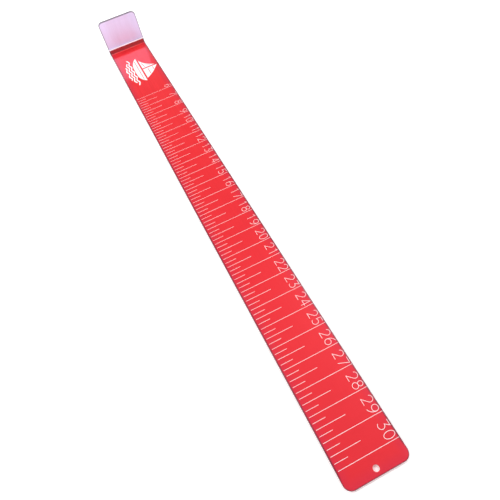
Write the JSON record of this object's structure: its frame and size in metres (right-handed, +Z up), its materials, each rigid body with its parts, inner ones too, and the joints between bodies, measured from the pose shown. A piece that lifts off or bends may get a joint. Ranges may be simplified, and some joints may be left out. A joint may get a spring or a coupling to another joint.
{
  "type": "fish measuring board",
  "caption": "Long flat red anodised aluminium measuring board with engraved inch graduations, a hanging hole, and an upright bare-metal stop plate bonded behind its short bent-up lip.",
  "frame": {"origin": "on the table, under the middle of the object's bounding box", "axes": "+X along the scale from the stop plate to the hanging hole, +Y across the board to the side of the numbers, +Z up from the table"},
  "size_m": [0.7876, 0.067, 0.0605],
  "materials": {
    "red_anodised": "glossy dyed anodising over fine long grain",
    "bare_aluminium": "satin, undyed, deburred edges",
    "foam_tape": "matte white foam",
    "engraving_paint": "satin white fill in the engraved marks"
  },
  "bodies": {
    "root": {"board": "red_anodised", "stop_plate": "bare_aluminium", "stop_bond_strip": "foam_tape"}
  },
  "joints": []
}
